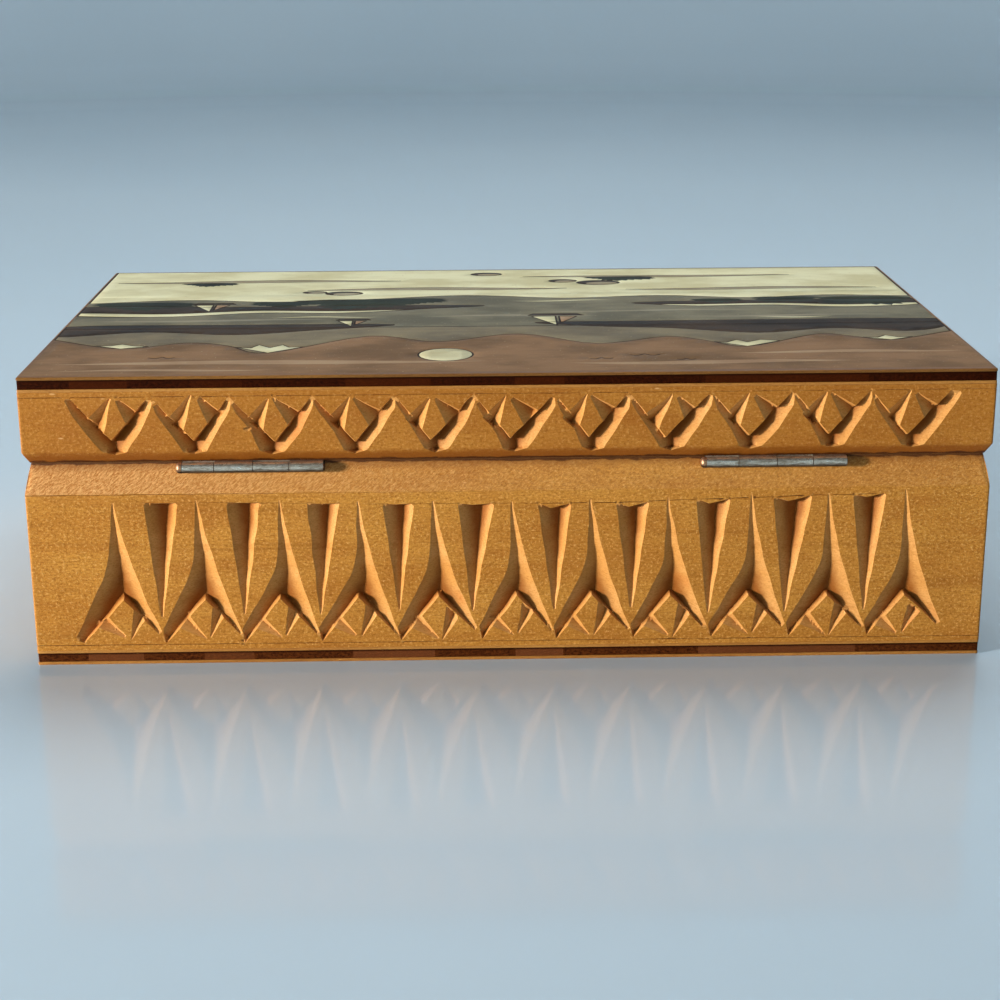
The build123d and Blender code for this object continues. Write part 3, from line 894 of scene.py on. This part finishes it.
def steel(name, light, dark, rough):
    """Small cheap steel hinge, tarnished in patches, with painted shade and reflection on the lower half of
    its barrel.
    """
    shader = Shader(name)
    own = shader.place_mm()
    tarnish = shader.noise(shader.stretch(own, (0.35, 2.2, 2.2)), 5, 0.7)
    scratches = shader.noise(shader.stretch(own, (0.7, 9, 9)), 3, 0.6)
    mixed = shader.stain(light, tarnish, (0.42, 0.62, 0.0, 0.75), dark)
    low, high = box_mm("left_hinge_pin")
    # Painted shade and reflection: the barrel darker below its axis
    ragged = shader.math("MULTIPLY_ADD", scratches, 0.5, shader.part_of(own, 2))
    axis = (low[2] + high[2]) / 2 + 0.25
    mixed = shader.stain(mixed, ragged, (axis - 0.9, axis + 0.25, 0.9, 0.0), colour(46, 34, 24))
    roughness = shader.scale_range(tarnish, 0.35, 0.65, rough, rough + 0.25)
    return shader.finish(
        Base_Color=mixed, Metallic=0.9, Roughness=roughness, Normal=shader.bump(scratches, 0.35, 0.05)
    )


# Lid picture: hills by a lake, painted between burned outlines. Millimetres, seen from the front
PICTURE_LOW, PICTURE_HIGH = np.array([-99.2, -58.7]), np.array([99.2, 57.8])
# The motifs are drawn a little small, and enlarged along and across by this much
PICTURE_SCALE = (1.04, 1.07)
OUTLINE_WIDTH = 0.42
OUTLINE_DEPTH = 0.09
OUTLINE_REACH = 0.3
FLOW_STEPS = 5
FAR_HILLS = ((-95.4, 21), (-81, 29), (-73, 25), (-66, 23), (-50, 34), (-42, 28), (-34, 24), (-19, 30),
             (-3, 20), (14, 27), (29, 21), (49, 36), (58, 29), (67, 26), (80, 31), (95.4, 22))
SNOW_PEAKS = (
    ((-57.5, 29), (-50, 34), (-43.5, 29.2), (-46, 30.2), (-48.5, 27.6), (-50.5, 30), (-53.5, 27.8)),
    ((42, 30.6), (49, 36), (56, 30.6), (53, 31.4), (51.5, 28.4), (49, 31.2), (46.5, 28.6), (45, 31)),
    ((-86, 26.2), (-81, 29), (-75.5, 26.3), (-78.5, 26.8), (-80.5, 24.6), (-83, 26.6)),
    ((74.5, 29), (80, 31), (85.5, 28), (82.5, 28.2), (80.3, 26.6), (77.5, 28.4)),
)
NEAR_HILLS = (
    ((-95.4, 16), (-86, 20.5), (-71, 17), (-54, 21), (-36, 15.5), (-20, 13), (-7, 8.6), (-30, 8), (-95.4, 8)),
    ((24, 9.4), (41, 14.5), (58, 18.5), (77, 15), (95.4, 19), (95.4, 9), (60, 8.4)),
)
HEADLANDS = (
    ((95.4, -2.5), (74, -1), (55, -4.4), (36, -3.6), (16, -7.6), (4, -10.2), (22, -11.6), (60, -11),
     (95.4, -12.5)),
    ((-95.4, -7.5), (-78, -5.6), (-62, -8.4), (-45, -8), (-30, -11.8), (-48, -13.6), (-95.4, -14)),
)
HEADLAND_SNOW = (
    ((95.4, -2.5), (74, -1), (55, -4.4), (36, -3.6), (20, -6.6), (37, -5.6), (56, -6.8), (75, -4),
     (95.4, -5.6)),
    ((-95.4, -7.5), (-78, -5.6), (-62, -8.4), (-45, -8), (-36, -10), (-46, -9.8), (-63, -10.4), (-79, -8.2),
     (-95.4, -9.8)),
)
SHORE = ((-95.4, -17.5), (-76, -19.5), (-58, -17), (-37, -20.5), (-15, -18.4), (8, -22.5), (30, -19),
         (52, -16.6), (73, -19.5), (95.4, -16.5))
LENSES = {
    "streak": ((-70, -12, 47.5, 3.0), (4, 92, 44.6, 3.4), (-93, -46, 39.4, 2.2), (46, 90, 50.6, 1.6)),
    "ripple": ((-88, -40, 3.2, 1.4), (-22, 18, 1.0, 1.6), (38, 92, 3.6, 1.8), (-60, -8, -3.4, 1.2)),
    "glint": ((-74, -56, 4.8, 0.8), (28, 52, 1.0, 0.9), (-26, -2, -15.4, 0.9)),
    "drift": ((-90, -30, -28.5, 2.6), (-16, 46, -30.6, 3.0), (24, 93, -41.5, 2.8), (-72, -6, -45.0, 2.4)),
}
STONES = (
    (-24, -37, 5.2, 2.9), (-15.5, -39.5, 3.4, 2.0), (37, -26, 4.4, 2.3), (44, -27.5, 2.8, 1.5),
    (3, -49, 3.8, 2.1),
)
SUN = (12.5, 39.0, 5.6)
BOATS = ((-12, 1.2, 1.0), (33, 4.6, 0.62), (66, -14.2, 0.8))
BUSHES = (
    (-84, -16, 13, 9), (-66, -17, 9, 6), (-50, -15.5, 6, 4.5), (20, -18.5, 8, 6), (33, -17.5, 14, 10),
    (50, -16, 8, 6), (82, -16, 12, 8), (-30, -44, 9, 5), (70, -40, 7, 4),
)
BIRDS = ((-28, 40, 3.2), (-19, 43, 2.4), (-36, 44.5, 2.0), (70, 39, 2.6))


def flow(points, closed=False, steps=FLOW_STEPS):
    """A smooth line through the points."""
    points = [np.array(p, float) for p in points]
    count = len(points)
    spans = count if closed else count - 1
    result = []
    for k in range(spans):
        if closed:
            before, a, b, after = (points[(k + d) % count] for d in (-1, 0, 1, 2))
        else:
            a, b = points[k], points[k + 1]
            before = points[k - 1] if k else 2 * a - b
            after = points[k + 2] if k + 2 < count else 2 * b - a
        for t in np.arange(steps) / steps:
            result.append(0.5 * (2 * a + (b - before) * t + (2 * before - 5 * a + 4 * b - after) * t * t
                                 + (3 * a - before - 3 * b + after) * t**3))
    if not closed:
        result.append(points[-1])
    return np.array(result)


def ellipse(x, y, wide, high, steps=18):
    turn = np.linspace(0, 2 * math.pi, steps, endpoint=False)
    return np.column_stack([x + wide * np.cos(turn), y + high * np.sin(turn)])


def lens(start, end, y, thick, steps=14):
    """A long thin cloud or ripple, a little bent."""
    t = np.linspace(0, 1, steps)
    upper = np.column_stack([start + (end - start) * t, y + thick * np.sin(math.pi * t) ** 0.8 * 0.5])
    lower = np.column_stack([start + (end - start) * t, y - thick * np.sin(math.pi * t) ** 1.4 * 0.5])
    bend = 0.5 * np.sin(2 * math.pi * t + y)
    upper[:, 1] += bend
    lower[:, 1] += bend
    return np.vstack([upper, lower[::-1][1:-1]])


def bush(x, y, wide, high):
    """A low bush with a ragged crown."""
    turn = np.linspace(0, math.pi, 27)
    crown = 1 - 0.16 * (np.arange(27) % 2) + 0.1 * np.sin(5 * turn + x)
    upper = np.column_stack([x + wide * crown * np.cos(turn), y + high * crown * np.sin(turn)])
    return np.vstack([upper, [(x - 0.5 * wide, y - 0.14 * high), (x + 0.5 * wide, y - 0.14 * high)]])


def picture():
    """The painted areas in the order that they were painted, and the burned lines."""
    left, bottom = PICTURE_LOW / PICTURE_SCALE
    right, top = PICTURE_HIGH / PICTURE_SCALE
    areas = [("sky", np.array([(left, bottom), (right, bottom), (right, top), (left, top)]) * PICTURE_SCALE)]
    lines = []

    def area(name, outline, drawn=True):
        outline = np.clip(np.asarray(outline, float) * PICTURE_SCALE, PICTURE_LOW, PICTURE_HIGH)
        areas.append((name, outline))
        if drawn:
            lines.append((outline, True))

    for spot in LENSES["streak"]:
        area("streak", lens(*spot), drawn=False)
    area("glint", ellipse(SUN[0], SUN[1], SUN[2], SUN[2], 28))
    area("far_hill", np.vstack([flow(FAR_HILLS), [(right, 12), (left, 12)]]))
    for peak in SNOW_PEAKS:
        area("snow", peak)
    area("lake", [(left, -24), (right, -24), (right, 12.4), (left, 12.4)], drawn=False)
    for outline in NEAR_HILLS:
        area("hill", flow(outline, True))
    for name in ("ripple", "glint"):
        for spot in LENSES[name]:
            area(name, lens(*spot), drawn=False)
    for outline in HEADLANDS:
        area("hill", flow(outline, True))
    for outline in HEADLAND_SNOW:
        area("snow", flow(outline, True))
    area("snow", np.vstack([flow(SHORE), [(right, bottom), (left, bottom)]]))
    for spot in LENSES["drift"]:
        area("drift", lens(*spot))
    for x, y, wide, high in STONES:
        area("hill", ellipse(x, y, wide, high, 14))
        area("drift", ellipse(x - 0.15 * wide, y + 0.3 * high, 0.75 * wide, 0.6 * high, 12), drawn=False)
    for x, y, size in BOATS:
        area("hill", [(x + size * u, y + size * v) for u, v in
                      ((-6, 0), (6.4, 0), (5, -1.9), (-4.6, -1.9))])
        area("snow", [(x + size * u, y + size * v) for u, v in ((0.3, 0.9), (0.3, 10.5), (5.6, 1.2))])
        area("streak", [(x + size * u, y + size * v) for u, v in ((-0.5, 1.0), (-0.5, 8.2), (-4.4, 1.2))])
    for x, y, wide, high in BUSHES:
        area("wood", bush(x, y, wide, high), drawn=False)
    for x, y, span in BIRDS:
        for way in (-1, 1):
            wing = [(x, y), (x + way * 0.5 * span, y + 0.45 * span), (x + way * span, y + 0.2 * span)]
            lines.append((flow(wing, steps=3) * PICTURE_SCALE, False))
    return areas, lines


def rounded_rectangle(half_x, half_y, radius, step=BORDER_STEP):
    """Points round a rectangle with rounded corners, counter-clockwise, and their outward directions."""
    points, normals = [], []
    corners = ((1, -1, -90), (1, 1, 0), (-1, 1, 90), (-1, -1, 180))
    for number, (sx, sy, start) in enumerate(corners):
        middle = np.array([sx * (half_x - radius), sy * (half_y - radius)])
        for turn in np.radians(np.linspace(start, start + 90, 5)):
            normal = np.array([math.cos(turn), math.sin(turn)])
            points.append(middle + radius * normal)
            normals.append(normal)
        next_x, next_y, _ = corners[(number + 1) % 4]
        following = np.array([next_x * (half_x - radius), next_y * (half_y - radius)]) + radius * normals[-1]
        count = max(2, round(np.linalg.norm(following - points[-1]) / step))
        start_point = points[-1]
        for share in np.arange(1, count) / count:
            points.append(start_point + share * (following - start_point))
            normals.append(normals[-1])
    return np.array(points), np.array(normals)


def slab(name, node, materials, profile, uneven=0.04, sheet=None):
    """A panel's ply: rings round its edge from the bottom up, each an inset and a height above its foot."""
    low, high = box_mm(node)
    rim, normals = rounded_rectangle(high[0], high[1], CORNER_ROUNDING)
    seed = len(name) * 7
    wander = uneven * (0.5 + 0.3 * waves(rim, 9, seed) + 0.3 * waves(rim, 2.2, seed + 1))
    rings = []
    for inset, rise in profile:
        moved = rim - normals * (inset + np.clip(wander, 0, None))[:, None]
        rings.append(np.column_stack([moved, np.full(len(rim), low[2] + rise)]))
    points, count = np.vstack(rings), len(rim)
    polygons, numbers = [tuple(reversed(range(count)))], [0]
    for ring in range(len(rings) - 1):
        for k in range(count):
            a, b = ring * count + k, ring * count + (k + 1) % count
            polygons.append((a, b, b + count, a + count))
            numbers.append(0)
    last = (len(rings) - 1) * count
    if sheet is None:
        polygons.append(tuple(last + k for k in range(count)))
        numbers.append(0)
    else:
        points, more, more_numbers = sheet(points, last, count)
        polygons += more
        numbers += more_numbers
    piece = make_piece(name, points, polygons, materials, numbers)
    smooth(piece, 35)
    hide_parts(node)
    return piece


TAN = (196, 178, 140)
# Each painted area's main and second tone, and the tone where it is worn
PAINT_TONES = {
    "sky": ((148, 112, 78), (118, 88, 58), TAN),
    "streak": ((176, 146, 112), (158, 124, 92), TAN),
    "far_hill": ((140, 126, 98), (112, 100, 80), TAN),
    "hill": ((70, 56, 44), (48, 40, 34), (134, 84, 60)),
    "wood": ((52, 56, 42), (38, 38, 30), (104, 90, 66)),
    "snow": ((232, 226, 184), (208, 198, 152), (168, 146, 104)),
    "lake": ((132, 124, 100), (104, 98, 80), TAN),
    "ripple": ((156, 146, 122), (138, 130, 110), TAN),
    "glint": ((222, 214, 172), (196, 184, 140), (150, 130, 94)),
    "drift": ((168, 156, 128), (150, 136, 108), TAN),
    "line": ((58, 42, 34), (42, 30, 26), (90, 66, 48)),
}
PAINTS = ("bare", *PAINT_TONES)


def picture_sheet(points, last, count):
    """Fills the top ring of the upper ply with the picture's faces."""
    areas, lines = picture()
    rim = points[last:last + count]
    segments = [(rim[k][:2], rim[(k + 1) % count][:2]) for k in range(count)]
    for _, outline in areas:
        segments += list(zip(outline, np.roll(outline, -1, axis=0)))
    centres = []
    for line, closed in lines:
        ends = np.vstack([line, line[:1]]) if closed else line
        for start, end in zip(ends[:-1], ends[1:]):
            run = end - start
            length = np.linalg.norm(run)
            if length < 1e-6:
                continue
            centres.append((start, end))
            side_step = np.array([-run[1], run[0]]) / length * OUTLINE_WIDTH / 2
            segments += [(start + shift, end + shift) for shift in (side_step, 0 * side_step, -side_step)]
    grid = np.array([(x, y) for x in np.arange(-98, 98.5, 3.0) for y in np.arange(-57, 57.5, 3.0)])
    loose = clear_of(grid, segments, 0.5)
    flat, faces = triangulate(segments, loose)
    depth = np.zeros(len(flat))
    for start, end in centres:
        near = beside(flat, start, end, OUTLINE_REACH)
        gap = distance_to(flat[near], start, end)
        depth[near] = np.maximum(depth[near], OUTLINE_DEPTH * np.clip(1 - gap / (OUTLINE_WIDTH / 2), 0, 1))
    middle = flat[faces].mean(axis=1)
    paint = np.zeros(len(faces), int)
    for name, outline in areas:
        paint[inside(middle, outline)] = PAINTS.index(name)
    for start, end in centres:
        near = beside(middle, start, end, OUTLINE_REACH)
        gap = distance_to(middle[near], start, end)
        paint[near[gap < OUTLINE_WIDTH / 2]] = PAINTS.index("line")

    # The sheet's own border points are the ring's
    numbers = np.arange(len(flat)) + len(points)
    for k, corner in enumerate(rim):
        gap = np.linalg.norm(flat - corner[:2], axis=1)
        numbers[gap < 1e-3] = last + k
    height = rim[0][2] - depth
    points = np.vstack([points, np.column_stack([flat, height])])
    polygons = [tuple(int(numbers[v]) for v in face) for face in faces]
    return points, polygons, [int(p) for p in paint]


def paint(name, main, second, worn):
    """Matt paint brushed along the lid, with a few worn specks."""
    shader = Shader(name)
    own = shader.place_mm()
    strokes = shader.noise(shader.stretch(own, (0.05, 0.5, 0.5)), 5, 0.6, 0.6)
    cloudy = shader.noise(shader.stretch(own, (0.06, 0.09, 0.1), (3, 5, 9)), 3, 0.55)
    specks = shader.noise(shader.stretch(own, (1.6, 1.6, 1.6)), 2, 0.6)
    mixed = shader.stain(main, cloudy, (0.35, 0.68), second)
    mixed = shader.stain(mixed, strokes, (0.5, 0.75, 0.0, 0.4), second)
    mixed = shader.stain(mixed, specks, (0.66, 0.76, 0.0, 0.7), worn)
    height = shader.math("MULTIPLY_ADD", specks, 0.5, strokes)
    return shader.finish(Base_Color=mixed, Roughness=0.42, Normal=shader.bump(height, 0.35, 0.1),
                         Specular_IOR_Level=0.03)


def paints():
    """The bare margin's wood, then the paint of each area."""
    margin = ply_face("bare_margin", colour(142, 94, 36), colour(120, 76, 28), colour(84, 50, 16), 0.45)
    return [margin] + [paint(f"paint_{name}", *(colour(*tone) for tone in tones))
                       for name, tones in PAINT_TONES.items()]


# Camera, from the photograph's view of the hinge side
CAMERA_PLACE = Vector((9.02, 438.27, 151.37)) * MM
CAMERA_AIM = Vector((1.978, 59.5, 35.463)) * MM
CAMERA_ROLL = math.radians(-0.315)
CAMERA_LENS = 68.81


def make_camera():
    data = bpy.data.cameras.new("camera")
    data.lens, data.sensor_width = CAMERA_LENS, 36
    data.clip_start, data.clip_end = 0.01, 20
    camera = bpy.data.objects.new("camera", data)
    camera.location = CAMERA_PLACE
    camera.rotation_mode = "QUATERNION"
    aim = (CAMERA_AIM - CAMERA_PLACE).to_track_quat("-Z", "Y")
    camera.rotation_quaternion = aim @ Quaternion((0, 0, 1), CAMERA_ROLL)
    bpy.context.scene.collection.objects.link(camera)
    bpy.context.scene.camera = camera


# Stage: a round pale floor that curves up into a wall, and soft light from the photograph's left
FLOOR_RADIUS = 1300
COVE_RADIUS = 500
WALL_HEIGHT = 900
KEY_DIRECTION = Vector((0.90, 0.42, 0.14))
KEY_DISTANCE = 1.5
KEY_SIZE = 0.17
KEY_POWER = 38.5
OVERHEAD_PLACE = Vector((-0.1, -0.42, 0.92))
OVERHEAD_SIZE = 0.6
OVERHEAD_POWER = 6.0
AMBIENT = 0.04


def add_lamp(name, location, size, power):
    """A square soft lamp that shines on the box's middle."""
    data = bpy.data.lights.new(name, "AREA")
    data.energy, data.size = power, size
    lamp = bpy.data.objects.new(name, data)
    lamp.location = location
    lamp.rotation_mode = "QUATERNION"
    lamp.rotation_quaternion = (Vector((0, 0, TOP_HEIGHT / 2 * MM)) - location).to_track_quat("-Z", "Y")
    bpy.context.scene.collection.objects.link(lamp)


def make_stage():
    profile = [(0, 0)]
    profile += [(radius, 0) for radius in np.linspace(100, FLOOR_RADIUS, 13)]
    for turn in np.linspace(0, math.pi / 2, 13)[1:]:
        profile.append((FLOOR_RADIUS + COVE_RADIUS * math.sin(turn), COVE_RADIUS * (1 - math.cos(turn))))
    profile.append((FLOOR_RADIUS + COVE_RADIUS, COVE_RADIUS + WALL_HEIGHT))
    sides = 96
    points = [(0, 0, 0)]
    for radius, z in profile[1:]:
        points += [(radius * math.cos(2 * math.pi * k / sides), radius * math.sin(2 * math.pi * k / sides), z)
                   for k in range(sides)]
    polygons = [(0, 1 + k, 1 + (k + 1) % sides) for k in range(sides)]
    for ring in range(len(profile) - 2):
        start = 1 + ring * sides
        for k in range(sides):
            following = (k + 1) % sides
            polygons.append((start + k, start + sides + k, start + sides + following, start + following))
    shader = Shader("floor")
    own = shader.place_mm()
    cloud = shader.noise(shader.stretch(own, (0.004, 0.004, 0.004)), 2, 0.4)
    mixed = shader.mix(cloud, colour(192, 210, 220), colour(204, 219, 227))
    rise = shader.scale_range(shader.part_of(own, 2), 20.0, 700.0)
    mixed = shader.mix(rise, mixed, colour(196, 218, 232))
    material = shader.finish(Base_Color=mixed, Roughness=0.1)
    floor = make_piece("floor", points, polygons, [material])
    smooth(floor, 60)

    middle = Vector((0, 0, TOP_HEIGHT / 2 * MM))
    add_lamp("key", middle + KEY_DIRECTION.normalized() * KEY_DISTANCE, KEY_SIZE, KEY_POWER)
    add_lamp("overhead", OVERHEAD_PLACE, OVERHEAD_SIZE, OVERHEAD_POWER)

    world = bpy.data.worlds.new("world")
    world.use_nodes = True
    background = world.node_tree.nodes["Background"]
    background.inputs["Color"].default_value = (0.93, 0.97, 1.0, 1.0)
    background.inputs["Strength"].default_value = AMBIENT
    bpy.context.scene.world = world


# Pieces
CARVED_WOOD, CUT_WOOD, BARE_WOOD = carved_wood(), cut_wood(), bare_wood()
SEEDS = {"front": 11, "right": 23, "back": 37, "left": 53}

for side, seed in SEEDS.items():
    random = np.random.default_rng(seed)
    for part, chips_of, bevel in (("base", base_chips, base_bevel), ("lid", lid_chips, lid_bevel)):
        chips = chips_of(side, random) + tears(part, side)
        board_seed = seed + (100 if part == "lid" else 0)
        board = carved_board(part, side, chips, bevel, [CARVED_WOOD, CUT_WOOD, BARE_WOOD], board_seed)
        if part == "base" and side == "back":
            cut_mortises(board)
        smooth(board)
        add_grain(board, part, side, 400 * seed + (150 if part == "lid" else 0))
        node = f"base_{side}_board" if part == "base" else f"lid_{side}_rail"
        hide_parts(node)
        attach(board, part)

FACE_PLY = ply_face("face_ply", colour(186, 124, 54), colour(168, 106, 42), colour(126, 74, 24), 0.5)
INNER_PLY = ply_face("inner_ply", colour(192, 132, 60), colour(176, 114, 46), colour(134, 80, 28), 0.6)
LID_CORE = ply_core("lid_core_ply", "lid_core", colour(56, 18, 2), colour(30, 6, 0), colour(84, 34, 6), 0.3)
BOTTOM_CORE = ply_core(
    "bottom_core_ply", "bottom_core", colour(96, 46, 14), colour(44, 14, 2), colour(120, 66, 34), 0.6
)
HINGE_STEEL = steel("hinge_steel", colour(238, 226, 204), colour(112, 96, 74), 0.25)
PIN_STEEL = steel("pin_steel", colour(202, 156, 118), colour(116, 78, 52), 0.35)


def finish_node(node, material, bevel_mm=0.0):
    """Gives a CAD node its material and softens its edges."""
    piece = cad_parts[node]
    piece.data.materials.clear()
    piece.data.materials.append(material)
    if bevel_mm:
        modifier = piece.modifiers.new("edges", "BEVEL")
        modifier.width, modifier.segments = bevel_mm * MM, 2
        modifier.limit_method, modifier.angle_limit = "ANGLE", math.radians(40)


for part in ("base", "lid"):
    finish_node(f"{part}_hinge_nails", HINGE_STEEL, 0.1)
    for side in ("left", "right"):
        finish_node(f"{side}_hinge_{part}_leaf", HINGE_STEEL)
for side in ("left", "right"):
    finish_node(f"{side}_hinge_pin", PIN_STEEL)

# Plies: each a slab with soft edges, the cores a little behind the faces
SOFT_EDGE = 0.1
CORE_RECESS = 0.12
TOP_ROUNDING = 0.35


def ply_profile(node, recess):
    low, high = box_mm(node)
    thick = high[2] - low[2]
    soft = recess + SOFT_EDGE
    return [(soft, 0), (recess, SOFT_EDGE), (recess, thick - SOFT_EDGE), (soft, thick)]


def top_profile():
    low, high = box_mm("lid_top_veneer")
    thick = high[2] - low[2]
    turns = np.linspace(0, math.pi / 2, 5)
    arc = [(TOP_ROUNDING * (1 - math.cos(turn)), thick - TOP_ROUNDING * (1 - math.sin(turn)))
           for turn in turns]
    return [(SOFT_EDGE, 0), (0, SOFT_EDGE)] + arc


for node, material, recess, body, slot in (
    ("bottom_outer_veneer", FACE_PLY, 0.0, "base", "ply_face"),
    ("bottom_core", BOTTOM_CORE, CORE_RECESS, "base", "ply_core"),
    ("bottom_inner_veneer", INNER_PLY, 0.0, "base", "ply_face"),
    ("lid_inner_veneer", INNER_PLY, 0.0, "lid", "ply_face"),
    ("lid_core", LID_CORE, CORE_RECESS, "lid", "ply_core"),
):
    ply = slab(f"{node}_ply", node, [material], ply_profile(node, recess))
    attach(ply, body)

lid_picture = slab("lid_picture", "lid_top_veneer", paints(), top_profile(), 0.02, picture_sheet)
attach(lid_picture, "lid")

make_camera()
make_stage()
bpy.context.scene.view_settings.view_transform = "Standard"
